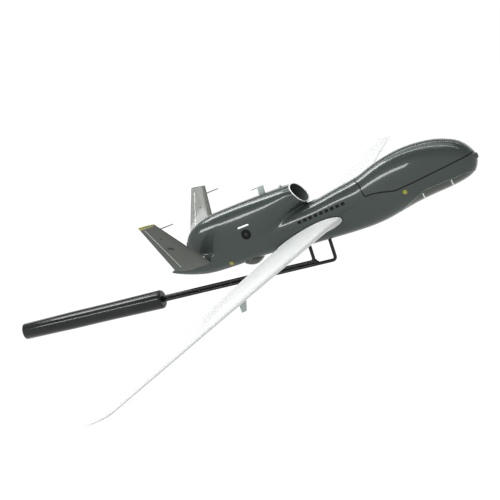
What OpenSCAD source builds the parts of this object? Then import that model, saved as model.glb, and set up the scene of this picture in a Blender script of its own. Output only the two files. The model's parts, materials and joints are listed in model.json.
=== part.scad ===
// Display model of a long-endurance unmanned aircraft, held on a two-pronged hand stick.
// Frame: +X along the stick towards the nose, +Y to the aircraft's left, +Z up,
// origin on the stick's axis at the middle of the grip. Millimetres.

/* [Stick] */
// Reach of the turned handle behind the origin
handle_rear = 72.4; // [60:1:90]
// Reach of the turned handle ahead of the origin
handle_front = 75; // [65:1:90]
// Handle diameter at the middle, where a clamp holds it
grip_d = 16.4; // [14:0.1:20]
// How much the handle's diameter grows from its rear end to its front end
handle_taper = 1.1; // [0:0.1:2]
// Length of the true cylinder at the middle of the handle
grip_len = 40; // [20:1:60]
// Radius of the handle's front shoulder
shoulder_r = 2.6; // [1:0.1:4]
// Diameter of the two bent rods
rod_d = 3; // [2.5:0.1:4]
// Depth of the rods in the handle
rod_seat = 42; // [20:1:60]
// Distance from the origin to the front prong
front_prong_x = 246; // [240:0.1:255]
// Distance between the two prongs
prong_pitch = 19.7; // [18:0.1:24]
// Height of the prong tips above the stick's axis
prong_top = 29.5; // [28:0.1:32]
// Centreline radius of the prongs' bends
bend_r = 3.2; // [2:0.1:5]

/* [Airframe] */
// Nose-up pitch of the aircraft on its stick
pitch = 6.4; // [0:0.1:12]
// How far the nose lies ahead of the origin, along the stick
nose_reach = 394.9; // [385:0.1:405]
// Height of the airframe's datum line at the nose
datum_height = 36; // [34:0.1:40]
// Outer diameter of the socket sleeves in the belly
sleeve_d = 5; // [4.2:0.1:6]
// Radial clearance of a prong in its sleeve
prong_clearance = 0.05; // [0.02:0.01:0.1]

/* [Wing] */
// Distance from the centreline to the wing tip
half_span = 415.6; // [380:0.1:440]
// Wing chord at the fuselage side
root_chord = 61; // [56:0.5:66]
// Wing chord where the tip's rounding starts
tip_chord = 16.5; // [10:0.5:20]
// Distance of the wing's root leading edge behind the nose
wing_root_aft = 131.5; // [125:0.1:138]
// How far the tip's leading edge lies behind the root's
wing_sweep = 56.5; // [50:0.5:64]
// Wing thickness as a share of its chord
wing_thickness = 0.14; // [0.1:0.01:0.18]

/* [Tail] */
// Slope of each fin above the horizontal
fin_cant = 47.5; // [42:0.1:52]
// Fin length from the fuselage side to its tip
fin_len = 71.5; // [66:0.5:78]
// Fin chord at the fuselage side
fin_root_chord = 33; // [30:0.1:38]
// Fin chord at the tip
fin_tip_chord = 14.6; // [12:0.1:18]

/* [Hidden] */
$fn = 48;
eps = 0.01;

// Stick
rod_r = rod_d / 2;
rear_prong_x = front_prong_x - prong_pitch;
// Width of the web that joins the handle's two rod holes
slot_web = 2.2;
foot_weld_r = 2.4;
tack_r = 0.9;
tack_pitch = 32;

// Sleeves: wall over the prong's tip, and the height of each sleeve's open foot
sleeve_r = sleeve_d / 2;
sleeve_wall_top = 1.5;
front_foot = 20;
rear_foot = 19;

// Points along each side, and across the top and the bottom, of one body ring
side_n = 7;
cap_n = 7;
// Rise of a flat cut at its middle
cut_bow = 0.04;

// Body sections: [distance aft of the nose, half width, top, bottom, height of the widest line, fullness]
BODY = [
    [0, 0.9, 22.4, 19.6, 21, 2],
    [1, 4.6, 26.6, 16.8, 21, 2],
    [4, 8.4, 32.6, 11.6, 21.5, 2.1],
    [10, 11.6, 39.4, 8, 22, 2.15],
    [18, 13.3, 43.9, 6, 22.5, 2.2],
    [30, 14.7, 48.2, 4.6, 23, 2.25],
    [45, 15.5, 50.6, 3.7, 23, 2.3],
    [60, 15.8, 51, 2.3, 22, 2.3],
    [76, 15.8, 49.2, -0.2, 20, 2.35],
    [90, 15.6, 46, -2.6, 18, 2.4],
    [105, 15.2, 41.6, -3.6, 17, 2.5],
    [125, 14.8, 38.9, -3, 16.5, 2.7],
    [150, 14.6, 35.5, -1.2, 16, 2.8],
    [175, 14.5, 34.5, 0.8, 16, 2.8],
    [205, 14.3, 33.5, 5, 17, 2.7],
    [240, 14.4, 31.5, 5.4, 18, 2.6],
    [264, 15.2, 27.6, 7, 19, 2.5],
    [278, 14.8, 25.4, 10.6, 19.8, 2.5],
    [290, 13, 23.8, 15.4, 20.4, 2.5],
    [297, 10.6, 22.6, 19, 20.8, 2.4],
    [300, 8.4, 21.7, 20.3, 21, 2.2],
];

// Lower edge of the nose hood: [distance aft, height]
HOOD_EDGE = [[0, 26.4], [18, 25], [37, 23.4], [59, 21.4], [73, 20.6], [85, 23.6], [93, 24.8], [103, 25]];
hood_aft = 103;
hood_start = 3;
hood_gap = 0.35;

// Upper rim of the belly canoe: [distance aft, height]
CANOE_RIM = [[5, 10.9], [12, 12.4], [30, 12.2], [48, 11.6], [57, 8.6], [68, 4.4], [78, 0.2]];
canoe_start = 6;
canoe_end = 77;
canoe_proud = 0.7;

// Nose camera's height, and the radome's place and the length of its wall inside the belly
camera_z = 21.8;
radome_aft = 222;
radome_collar = 5;

// Nacelle sections: [distance aft, half width, top, bottom, height of the widest line, fullness]
NACELLE = [
    [158.6, 13.2, 56.3, 37, 46.6, 2.3],
    [163, 13.7, 57, 35.8, 46.4, 2.3],
    [172, 14.1, 57.2, 32.5, 43, 2.3],
    [185, 14.3, 57.3, 25, 37, 2.35],
    [205, 14.45, 57.4, 12, 28, 2.5],
    [225, 14.45, 57.2, 7, 22, 2.6],
    [243, 14, 56.6, 7.5, 21, 2.6],
    [256, 12.4, 54.4, 10, 22, 2.5],
    [266, 9.6, 50.6, 15, 26, 2.3],
    [272, 7, 46.6, 22, 32, 2.15],
    [275.5, 4.6, 42.5, 30, 37, 2.1],
];
intake_rake = 26.5;
// Distance behind the intake over which its rake fades out
rake_fade = 60;
intake_aft = 158.6;
intake_depth = 22;
intake_wall = 1.3;
// Nacelle pegs: distances aft, radius, and the heights of their two ends
nacelle_dowel_aft = [200, 245];
nacelle_dowel_r = 1.5;
nacelle_dowel_z = [22, 44];

// Exhaust at the nacelle's rear end
exhaust_aft = 272;
exhaust_z = 36.5;
exhaust_r = 4.6;

// Points on each face of a wing or fin section
foil_n = 9;
// Half width of the fuselage at the wing, and the wing's length inside it
fuselage_side = 15.6;
wing_bury = 4;
// Length of the rounded part of the wing tip
tip_round = 9;
// Wing dowels: [distance aft, height], radius, and the span that each one covers on both sides
wing_dowel_front_at = [152, 12.3];
wing_dowel_front_r = 2.2;
wing_dowel_rear_at = [168, 11];
wing_dowel_rear_r = 1.8;
dowel_inner_y = 5;
dowel_reach = 52;
blade_y = 195;

// Middle of a fin's root, and the places aft of the leading edge at its root and tip
fin_root_y = 18.3;
fin_root_z = 22.6;
fin_root_aft = 257;
fin_tip_aft = 266.8;
// Fin thickness as a share of its chord, and its length inside the fuselage
fin_thickness = 0.085;
fin_bury = 9;
// Distance inside the fuselage over which a fin's foot would taper to nothing
fin_foot_taper = 16;
fin_cap_len = 2.6;
// How much farther out the tip's trailing corner lies than its leading one
fin_tip_skew = 3;
// Fin dowels: radius, distances behind the fin's root leading edge, and length on each side of the root
fin_dowel_r = 0.6;
fin_dowel_behind = [7, 12];
fin_dowel_half = 11;
probe_share = 0.87;
probe_r = 0.4;
probe_len = 12.5;

// Small fittings: distances aft and heights
dorsal_blade_aft = 194;
beacon_aft = 172.5;
blister_aft = 219;
blister_len = 9.6;
blister_r = 0.9;

// ---------- curves ----------

function pick(table, s, i = 0) = (i >= len(table) - 2 || s < table[i + 1][0]) ? i : pick(table, s, i + 1);

// Slope of column c of a table at row i, against the square root of the distance aft
function slope(table, i, c) =
    let (a = max(i - 1, 0), b = min(i + 1, len(table) - 1))
    (table[b][c] - table[a][c]) / (sqrt(table[b][0]) - sqrt(table[a][0]));

// Smooth value of column c at distance s
function smooth_at(table, s, c) =
    let (
        i = pick(table, s),
        q0 = sqrt(table[i][0]), q1 = sqrt(table[i + 1][0]),
        h = q1 - q0, t = (sqrt(s) - q0) / h,
        m0 = slope(table, i, c) * h, m1 = slope(table, i + 1, c) * h
    )
    (2 * t ^ 3 - 3 * t ^ 2 + 1) * table[i][c] + (t ^ 3 - 2 * t ^ 2 + t) * m0
    + (3 * t ^ 2 - 2 * t ^ 3) * table[i + 1][c] + (t ^ 3 - t ^ 2) * m1;

function section(table, s) = [for (c = [0:5]) c == 0 ? s : smooth_at(table, s, c)];
function edge_at(table, s) = lookup(s, table);

// Point at angle a on a section: angle 0 is the left side, 90 the top
function on_section(p, a, proud = 0) =
    let (e = 2 / p[5], c = cos(a), d = sin(a), rise = d > 0 ? p[2] - p[4] : p[4] - p[3])
    [-p[0], (p[1] + proud) * sign(c) * abs(c) ^ e, p[4] + rise * sign(d) * abs(d) ^ e];

// Angle on a section's left side at which it reaches height z
function angle_at(p, z) =
    let (up = z > p[4], f = up ? (z - p[4]) / (p[2] - p[4]) : (p[4] - z) / (p[4] - p[3]))
    (up ? 1 : -1) * asin(min(f, 1) ^ (p[5] / 2));

// One ring of a body, cut flat below z_low and above z_high where those are given
function ring(p, z_low, z_high, proud = 0) =
    let (
        a0 = is_undef(z_low) ? -50 : angle_at(p, z_low),
        a1 = is_undef(z_high) ? 45 : angle_at(p, z_high),
        left_top = on_section(p, a1, proud), left_low = on_section(p, a0, proud),
        mirror_y = function(v) [v[0], -v[1], v[2]]
    )
    concat(
        [for (k = [0:side_n - 1]) on_section(p, a0 + (a1 - a0) * k / side_n, proud)],
        [for (k = [0:cap_n - 1]) is_undef(z_high)
            ? on_section(p, a1 + (180 - 2 * a1) * k / cap_n, proud)
            : left_top + (mirror_y(left_top) - left_top) * k / cap_n],
        [for (k = [0:side_n - 1]) mirror_y(on_section(p, a1 + (a0 - a1) * k / side_n, proud))],
        [for (k = [0:cap_n - 1]) is_undef(z_low)
            ? on_section(p, 180 - a0 + (180 + 2 * a0) * k / cap_n, proud)
            : mirror_y(left_low) + (left_low - mirror_y(left_low)) * k / cap_n + [0, 0, cut_bow * sin(180 * k / cap_n)]]
    );

// Closed skin over a list of rings that all have the same number of points
module loft(rings, flip = false) {
    n = len(rings[0]);
    m = len(rings);
    sides = [for (j = [0:m - 2]) for (i = [0:n - 1])
        for (f = [[j * n + i, j * n + (i + 1) % n, (j + 1) * n + (i + 1) % n],
                  [j * n + i, (j + 1) * n + (i + 1) % n, (j + 1) * n + i]]) f];
    first = [for (i = [n - 1:-1:0]) i];
    last = [for (i = [0:n - 1]) (m - 1) * n + i];
    faces = concat(sides, [first], [last]);
    polyhedron([for (r = rings) for (p = r) p], flip ? [for (f = faces) [for (i = [len(f) - 1:-1:0]) f[i]]] : faces);
}

// Distances aft that close up towards the nose
function spread(a, b, n) = [for (k = [0:n]) (sqrt(a) + (sqrt(b) - sqrt(a)) * k / n) ^ 2];
function even(a, b, n) = [for (k = [0:n]) a + (b - a) * k / n];

// Places a shape given in the airframe's own frame: x forward from the nose, z up from its datum
module airframe() {
    translate([nose_reach, 0, datum_height]) rotate([0, -pitch, 0]) children();
}

module mirrored(side) {
    if (side > 0) children();
    else mirror([0, 1, 0]) children();
}

// ---------- stick ----------

// Oblong hole for the two rods, which lie one on the other
module rod_slot() {
    translate([handle_front - rod_seat, 0, 0]) {
        for (side = [-1, 1]) translate([0, 0, side * rod_r]) rotate([0, 90, 0]) cylinder(r = rod_r, h = rod_seat + eps);
        translate([0, -slot_web / 2, -rod_r]) cube([rod_seat + eps, slot_web, rod_d]);
    }
}

module handle() {
    r = grip_d / 2;
    rear_r = r - handle_taper / 2;
    front_r = r + handle_taper / 2;
    rim = [for (a = [0:15:90]) [front_r - shoulder_r + shoulder_r * cos(a),
        handle_front - shoulder_r + shoulder_r * sin(a)]];
    color([0.09, 0.1, 0.1]) difference() {
        rotate([0, 90, 0]) rotate_extrude() polygon(concat(
            [[0, -handle_rear], [rear_r, -handle_rear], [r, -grip_len / 2], [r, grip_len / 2]],
            rim, [[0, handle_front]]));
        rod_slot();
    }
}

// One bent rod: from inside the handle, along the stick, round the bend and up its prong
module bent_rod(x, z) {
    start = handle_front - rod_seat;
    translate([start, 0, z]) rotate([0, 90, 0]) cylinder(r = rod_r, h = x - bend_r - start);
    translate([x - bend_r, 0, z + bend_r]) rotate([90, 0, 0]) rotate_extrude(angle = -90)
        translate([bend_r, 0]) circle(r = rod_r);
    translate([x, 0, z + bend_r]) cylinder(r = rod_r, h = prong_top - z - bend_r);
}

module long_rod() {
    color([0.1, 0.11, 0.11]) bent_rod(front_prong_x, -rod_r);
}

module short_rod() {
    color([0.1, 0.11, 0.11]) bent_rod(rear_prong_x, rod_r);
}

// Fillet of weld metal between the short prong's foot and the long rod
module foot_weld() {
    color([0.12, 0.13, 0.13]) difference() {
        translate([rear_prong_x + 0.6, 0, 0.9]) sphere(r = foot_weld_r);
        bent_rod(front_prong_x, -rod_r);
        bent_rod(rear_prong_x, rod_r);
    }
}

// Small welds in the valleys between the rods
module tack_welds() {
    color([0.12, 0.13, 0.13]) difference() {
        for (x = [handle_front + 6:tack_pitch:rear_prong_x - 8]) for (side = [-1, 1])
            translate([x, side * 1.15, 0]) sphere(r = tack_r);
        bent_rod(front_prong_x, -rod_r);
        bent_rod(rear_prong_x, rod_r);
    }
}

// Brass sleeve set in the belly; its closed end rests on the prong's tip
module socket_sleeve(x, foot) {
    color([0.72, 0.6, 0.3]) difference() {
        translate([x, 0, foot]) cylinder(r = sleeve_r, h = prong_top + sleeve_wall_top - foot);
        translate([x, 0, foot - 1]) cylinder(r = rod_r + prong_clearance, h = prong_top - foot + 1);
    }
}

module socket_sleeve_front() { socket_sleeve(front_prong_x, front_foot); }
module socket_sleeve_rear() { socket_sleeve(rear_prong_x, rear_foot); }

// ---------- body ----------

function hood_z(s) = min(edge_at(HOOD_EDGE, s), smooth_at(BODY, s, 2) - 0.6);
function canoe_z(s) = max(edge_at(CANOE_RIM, s), smooth_at(BODY, s, 3) + 0.25);

function fuselage_ring(s) =
    ring(section(BODY, s),
        s > canoe_start && s < canoe_end ? canoe_z(s) : undef,
        s > hood_start && s < hood_aft + hood_gap ? hood_z(s) : undef);

// The fuselage's outer form, before its holes are drilled
module fuselage_blank() {
    stations = concat(
        spread(0, hood_start, 4), spread(hood_start + 0.4, canoe_start, 2), spread(canoe_start + 0.3, 30, 6),
        even(36, 72, 6), [76.5, 79, 85, 93, 100, hood_aft], even(hood_aft + hood_gap + 0.2, 278, 18),
        [284, 290, 294, 297, 299, 300]);
    airframe() loft([for (s = stations) fuselage_ring(s)]);
}

module fuselage() {
    color([0.44, 0.49, 0.48]) difference() {
        fuselage_blank();
        for (x = [front_prong_x, rear_prong_x]) translate([x, 0, 0])
            cylinder(r = sleeve_r, h = prong_top + sleeve_wall_top);
        wing_dowel_front();
        wing_dowel_rear();
        fin_dowels();
        nacelle_dowels();
    }
}

module nose_hood() {
    stations = concat(spread(hood_start + 0.8, 30, 8), even(36, hood_aft, 12));
    color([0.44, 0.49, 0.48]) airframe()
        loft([for (s = stations) ring(section(BODY, s), hood_z(s) + hood_gap, undef)]);
}

module belly_canoe() {
    stations = concat(spread(canoe_start + 0.6, 30, 6), even(36, 72, 6), [75, canoe_end - 0.3]);
    color([0.4, 0.42, 0.38]) airframe()
        loft([for (s = stations) ring(section(BODY, s), undef, canoe_z(s) - 0.1, canoe_proud)]);
}

module nose_camera_collar() {
    color([0.35, 0.38, 0.37]) airframe() translate([-0.4, 0, camera_z]) rotate([0, 90, 0]) difference() {
        cylinder(r = 2.6, h = 1.2);
        translate([0, 0, 0.6]) cylinder(r = 1.9, h = 1);
    }
}

module nose_camera_lens() {
    color([0.05, 0.05, 0.05]) airframe() translate([0.2, 0, camera_z]) intersection() {
        translate([-0.9, 0, 0]) sphere(r = 2.1);
        translate([0, -3, -3]) cube([3, 6, 6]);
    }
}

// Domed radome under the rear fuselage
module ventral_radome() {
    base_z = 5.6;
    depth = 5.6;
    base_r = 10.6;
    ball_r = (base_r ^ 2 + depth ^ 2) / (2 * depth);
    color([0.38, 0.4, 0.38]) difference() {
        airframe() translate([-radome_aft, 0, base_z]) intersection() {
            translate([0, 0, ball_r - depth]) sphere(r = ball_r, $fn = 96);
            translate([0, 0, -depth]) cylinder(r = base_r, h = depth + radome_collar);
        }
        fuselage_blank();
    }
}

// ---------- nacelle ----------

// A nacelle ring, leant forward at its foot where it is close to the intake
function nacelle_ring(s, inset = 0) =
    let (p = section(NACELLE, s), fade = max(0, 1 - (s - intake_aft) / rake_fade))
    [for (v = ring([s, p[1] - inset, p[2] - inset, p[3] + inset, p[4], p[5]]))
        [v[0] - (v[2] - p[4]) * tan(intake_rake) * fade, v[1], v[2]]];

module engine_nacelle() {
    mouth = intake_aft + 0.6;
    inner = [for (s = [intake_aft + intake_depth, 170, 163]) nacelle_ring(s, intake_wall)];
    outer = [for (s = concat([mouth, 163, 168], even(176, 256, 10), [261, 266, 269.5, 272, 274, 275.5]))
        nacelle_ring(s)];
    color([0.46, 0.51, 0.5]) difference() {
        airframe() loft(concat(inner, [nacelle_ring(mouth, intake_wall * 0.8)], outer));
        airframe() translate([-exhaust_aft, 0, exhaust_z]) rotate([0, -90, 0]) cylinder(r = exhaust_r, h = 10);
        fuselage_blank();
        nacelle_dowels();
    }
}

// Two pegs that locate the nacelle on the fuselage
module nacelle_dowels() {
    color([0.75, 0.6, 0.42]) airframe() for (s = nacelle_dowel_aft) translate([-s, 0, nacelle_dowel_z[0]])
        cylinder(r = nacelle_dowel_r, h = nacelle_dowel_z[1] - nacelle_dowel_z[0]);
}

module intake_lip() {
    // Ahead of the nacelle's mouth, and inset from its outer skin
    profile = [[-0.5, 0.05], [0.3, -0.1], [1, 0.15], [1.2, 0.7], [0.6, 1.25], [-0.5, 1.2]];
    lip = [for (v = profile) nacelle_ring(intake_aft, v[1]) + [for (i = [1:2 * (side_n + cap_n)]) [v[0], 0, 0]]];
    color([0.9, 0.92, 0.91]) airframe() loft_ring(lip);
}

// Closed band: the rings join end to end instead of being capped
module loft_ring(rings) {
    n = len(rings[0]);
    m = len(rings);
    faces = [for (j = [0:m - 1]) for (i = [0:n - 1])
        let (a = j * n, b = ((j + 1) % m) * n, k = (i + 1) % n)
        for (f = [[a + i, b + k, a + k], [a + i, b + i, b + k]]) f];
    polyhedron([for (r = rings) for (p = r) p], faces);
}

module intake_blank() {
    color([0.04, 0.04, 0.05]) difference() {
        airframe() loft([for (s = [intake_aft + intake_depth - 3, intake_aft + intake_depth - 0.1])
            nacelle_ring(s, intake_wall + 0.4)]);
        fuselage_blank();
    }
}

module exhaust_ring() {
    color([0.25, 0.26, 0.26]) airframe() translate([-exhaust_aft, 0, exhaust_z]) rotate([0, -90, 0]) difference() {
        cylinder(r = exhaust_r, h = 4.2);
        translate([0, 0, 1]) cylinder(r = exhaust_r - 1, h = 4);
    }
}

module exhaust_plug() {
    color([0.06, 0.06, 0.06]) airframe() translate([-exhaust_aft - 1, 0, exhaust_z]) rotate([0, -90, 0])
        cylinder(r1 = 2.2, r2 = 0.8, h = 3.6);
}

// ---------- wings ----------

// Closed aerofoil: point k of 2n, starting at the trailing edge and running over the top
function foil(chord, thick) = [for (k = [0:2 * foil_n - 1])
    let (
        a = 180 * k / foil_n,
        u = (1 + cos(a)) / 2,
        t = thick * chord * (1.48 * sqrt(u) - 0.63 * u - 1.76 * u ^ 2 + 1.42 * u ^ 3 - 0.46 * u ^ 4 + 0.012),
        camber = 0.1 * thick * chord * sin(180 * u)
    )
    [u * chord, camber + (k < foil_n ? 1 : -1) * t]];

// Share of the way from the root to the tip, and the places of the wing's two edges there
function span_share(y) = (y - fuselage_side) / (half_span - fuselage_side);
function tip_cut(y) = let (t = max(0, (y - half_span + tip_round) / tip_round)) 1 - sqrt(max(0, 1 - t ^ 2));
function trailing_aft(y) = wing_root_aft + root_chord + (wing_sweep + tip_chord - root_chord) * span_share(y);
function leading_aft(y) =
    let (straight = wing_root_aft + wing_sweep * span_share(y))
    straight + (trailing_aft(y) - straight) * 0.86 * tip_cut(y);
function wing_ring(y) =
    let (
        lead = leading_aft(y), chord = trailing_aft(y) - lead,
        lead_z = 13.6 - 2 * span_share(y), drop = (4.9 - 4 * span_share(y)) * chord / root_chord,
        incidence = asin(drop / chord)
    )
    [for (p = foil(chord, wing_thickness - 0.02 * span_share(y)))
        [-lead - p[0] * cos(incidence), y, lead_z - p[0] * sin(incidence) + p[1]]];

module wing(side) {
    ys = concat([fuselage_side - wing_bury, fuselage_side, 22, 40], even(75, half_span - 15, 9),
        [for (t = [0:20:80]) half_span - tip_round + tip_round * sin(t)], [half_span - 0.05]);
    color([0.93, 0.95, 0.95]) difference() {
        airframe() mirrored(side) loft([for (y = ys) wing_ring(y)], true);
        wing_dowel_front();
        wing_dowel_rear();
        fuselage_blank();
    }
}

module wing_left() { wing(1); }
module wing_right() { wing(-1); }

module wing_dowels(at, r) {
    color([0.75, 0.6, 0.42]) airframe() for (side = [-1, 1]) mirrored(side)
        translate([-at[0], dowel_inner_y, at[1]]) rotate([-90, 0, 0]) cylinder(r = r, h = dowel_reach - dowel_inner_y);
}
module wing_dowel_front() { wing_dowels(wing_dowel_front_at, wing_dowel_front_r); }
module wing_dowel_rear() { wing_dowels(wing_dowel_rear_at, wing_dowel_rear_r); }

// Wing ring at y, grown by g all round
function grown_ring(y, g) =
    let (r = wing_ring(y))
    [for (k = [0:2 * foil_n - 1]) r[k] + g * [-cos(180 * k / foil_n), 0, sin(180 * k / foil_n)]];

// Thin collar round the wing's root
module root_fairing(side) {
    profile = [[-2.4, 0.05], [-2.4, 1.8], [-0.6, 1.2], [1.4, 0.5], [1.4, 0.05]];
    color([0.6, 0.64, 0.63]) airframe() mirrored(side)
        loft_ring([for (v = profile) grown_ring(fuselage_side + v[0], v[1])]);
}
module root_fairing_left() { root_fairing(1); }
module root_fairing_right() { root_fairing(-1); }

// Blade aerial hanging under each wing
module underwing_blade(side) {
    color([0.8, 0.82, 0.8]) airframe() mirrored(side)
        translate([-leading_aft(blade_y) - 3.2, blade_y - 0.6, 9.6]) rotate([-90, 0, 0]) linear_extrude(1.2)
            polygon([[0, 0], [-7, 0], [-7.6, 7.2], [-3.2, 6.9]]);
}
module underwing_blade_left() { underwing_blade(1); }
module underwing_blade_right() { underwing_blade(-1); }

// ---------- tail ----------

// Fin section at distance d from the root, in the fin's own plane
function fin_ring(d, thin = 1) =
    let (
        f = d / fin_len,
        chord = (fin_root_chord + (fin_tip_chord - fin_root_chord) * f) * min(1, 1 + d / fin_foot_taper),
        lead = fin_root_aft + (fin_tip_aft - fin_root_aft) * f
    )
    [for (p = foil(chord, fin_thickness * thin))
        [-lead - p[0], d + fin_tip_skew * f * p[0] / chord, p[1] - 0.1 * fin_thickness * chord]];

module fin_frame(side) {
    airframe() mirrored(side) translate([0, fin_root_y, fin_root_z]) rotate([fin_cant, 0, 0]) children();
}

module fin(side) {
    color([0.5, 0.52, 0.5]) difference() {
        fin_frame(side) loft([for (d = concat([-fin_bury], even(0, fin_len - fin_cap_len, 5))) fin_ring(d)], true);
        fin_dowels();
        fuselage_blank();
    }
}
module fin_left() { fin(1); }
module fin_right() { fin(-1); }

module fin_cap(side) {
    color([0.5, 0.52, 0.5]) fin_frame(side)
        loft([fin_ring(fin_len - fin_cap_len), fin_ring(fin_len - 0.8), fin_ring(fin_len, 0.5)], true);
}
module fin_cap_left() { fin_cap(1); }
module fin_cap_right() { fin_cap(-1); }

module fin_dowels() {
    color([0.75, 0.6, 0.42]) for (side = [-1, 1]) fin_frame(side) for (behind = fin_dowel_behind)
        translate([-fin_root_aft - behind, -fin_dowel_half, 0]) rotate([-90, 0, 0])
            cylinder(r = fin_dowel_r, h = 2 * fin_dowel_half);
}

// Thin probe pointing forward from the leading edge of each fin
module fin_probe(side) {
    lead = fin_root_aft + (fin_tip_aft - fin_root_aft) * probe_share;
    color([0.85, 0.86, 0.84]) fin_frame(side) translate([-lead, fin_len * probe_share, 0]) rotate([0, 90, 0])
        cylinder(r = probe_r, h = probe_len);
}
module fin_probe_left() { fin_probe(1); }
module fin_probe_right() { fin_probe(-1); }

// ---------- small fittings ----------

module dorsal_blade() {
    color([0.7, 0.73, 0.71]) airframe() translate([-dorsal_blade_aft, 0.6, 57.2]) rotate([90, 0, 0])
        linear_extrude(1.2) polygon([[0, 0], [6.2, 0], [7.4, 7.2], [1.2, 7.2]]);
}

module dorsal_whisker() {
    color([0.8, 0.82, 0.8]) airframe() translate([-dorsal_blade_aft + 1.3, 0, 63.6]) rotate([0, -90, 0])
        cylinder(r = 0.25, h = 6.5);
}

module dorsal_beacon() {
    color([0.55, 0.58, 0.56]) airframe() translate([-beacon_aft, 0, 56.9]) {
        cylinder(r = 1.5, h = 0.8);
        translate([0, 0, 0.8]) intersection() {
            sphere(r = 1.2);
            translate([-2, -2, 0]) cube([4, 4, 2]);
        }
    }
}

// Small rounded bar on each side of the nacelle
module side_blister(side) {
    color([0.9, 0.92, 0.91]) airframe() mirrored(side) translate([-blister_aft, 13.9, 38]) rotate([0, 93, 0]) {
        cylinder(r = blister_r, h = blister_len);
        for (z = [0, blister_len]) translate([0, 0, z]) sphere(r = blister_r);
    }
}
module side_blister_left() { side_blister(1); }
module side_blister_right() { side_blister(-1); }

handle();
long_rod();
short_rod();
foot_weld();
tack_welds();
socket_sleeve_front();
socket_sleeve_rear();
fuselage();
nose_hood();
nose_camera_collar();
nose_camera_lens();
belly_canoe();
ventral_radome();
engine_nacelle();
intake_lip();
intake_blank();
exhaust_ring();
exhaust_plug();
wing_left();
wing_right();
root_fairing_left();
root_fairing_right();
wing_dowel_front();
wing_dowel_rear();
nacelle_dowels();
fin_left();
fin_right();
fin_cap_left();
fin_cap_right();
fin_dowels();
fin_probe_left();
fin_probe_right();
dorsal_blade();
dorsal_whisker();
dorsal_beacon();
side_blister_left();
side_blister_right();
underwing_blade_left();
underwing_blade_right();
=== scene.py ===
import json
import math

import bmesh
import bpy
from mathutils import Matrix, Vector


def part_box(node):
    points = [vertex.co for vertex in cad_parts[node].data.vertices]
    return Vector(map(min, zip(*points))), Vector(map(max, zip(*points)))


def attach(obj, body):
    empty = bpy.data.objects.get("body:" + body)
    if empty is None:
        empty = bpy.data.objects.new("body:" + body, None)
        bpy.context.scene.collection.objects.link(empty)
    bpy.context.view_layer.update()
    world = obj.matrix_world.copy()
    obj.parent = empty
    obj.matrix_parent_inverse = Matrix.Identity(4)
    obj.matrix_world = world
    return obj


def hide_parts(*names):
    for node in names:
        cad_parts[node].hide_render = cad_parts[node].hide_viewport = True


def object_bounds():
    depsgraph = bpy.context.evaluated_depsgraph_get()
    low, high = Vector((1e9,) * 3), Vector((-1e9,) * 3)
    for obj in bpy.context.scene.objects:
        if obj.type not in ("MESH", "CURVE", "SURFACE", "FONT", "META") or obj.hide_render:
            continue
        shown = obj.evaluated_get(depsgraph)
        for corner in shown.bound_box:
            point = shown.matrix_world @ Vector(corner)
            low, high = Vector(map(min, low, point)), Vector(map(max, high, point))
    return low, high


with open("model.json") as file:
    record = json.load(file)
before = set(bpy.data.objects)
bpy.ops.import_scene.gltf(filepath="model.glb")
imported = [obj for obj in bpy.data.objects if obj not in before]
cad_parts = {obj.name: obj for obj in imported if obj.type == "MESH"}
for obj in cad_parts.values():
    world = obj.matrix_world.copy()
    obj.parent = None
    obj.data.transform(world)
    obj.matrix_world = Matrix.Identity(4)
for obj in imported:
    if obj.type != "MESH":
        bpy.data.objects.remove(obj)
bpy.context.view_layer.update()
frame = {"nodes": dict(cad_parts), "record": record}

# Display model of a slender-winged aircraft on a two-pronged hand stick.
# The stick's pieces are drawn in the row frame. The airframe's pieces are drawn in the aircraft's
# own frame, x forward from the nose and z up from its datum, and then seated on the stick.
# Sizes and places are in millimetres, and MM turns them into metres.

MM = 0.001
NOSE_REACH = 394.9
DATUM_HEIGHT = 36
PITCH = math.radians(6.4)

# Stick
GRIP_R = 8.2
GRIP_TAPER = 1.1
GRIP_LEN = 40
HANDLE_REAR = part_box("handle")[0][0] / MM
HANDLE_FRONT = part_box("handle")[1][0] / MM
ROD_R = 1.5
BEND_R = 3.2
FRONT_PRONG_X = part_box("long_rod")[1][0] / MM - ROD_R
REAR_PRONG_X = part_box("short_rod")[1][0] / MM - ROD_R
PRONG_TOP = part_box("long_rod")[1][2] / MM
SLEEVE_R = 2.5

# Body sections: distance aft of the nose, half width, top, bottom, height of the widest line, fullness
BODY = [
    (0, 0.9, 22.4, 19.6, 21, 2), (1, 4.6, 26.6, 16.8, 21, 2), (4, 8.4, 32.6, 11.6, 21.5, 2.1),
    (10, 11.6, 39.4, 8, 22, 2.15), (18, 13.3, 43.9, 6, 22.5, 2.2), (30, 14.7, 48.2, 4.6, 23, 2.25),
    (45, 15.5, 50.6, 3.7, 23, 2.3), (60, 15.8, 51, 2.3, 22, 2.3), (76, 15.8, 49.2, -0.2, 20, 2.35),
    (90, 15.6, 46, -2.6, 18, 2.4), (105, 15.2, 41.6, -3.6, 17, 2.5), (125, 14.8, 38.9, -3, 16.5, 2.7),
    (150, 14.6, 35.5, -1.2, 16, 2.8), (175, 14.5, 34.5, 0.8, 16, 2.8), (205, 14.3, 33.5, 5, 17, 2.7),
    (240, 14.4, 31.5, 5.4, 18, 2.6), (264, 15.2, 27.6, 7, 19, 2.5), (278, 14.8, 25.4, 10.6, 19.8, 2.5),
    (290, 13, 23.8, 15.4, 20.4, 2.5), (297, 10.6, 22.6, 19, 20.8, 2.4), (300, 8.4, 21.7, 20.3, 21, 2.2),
]
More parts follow.
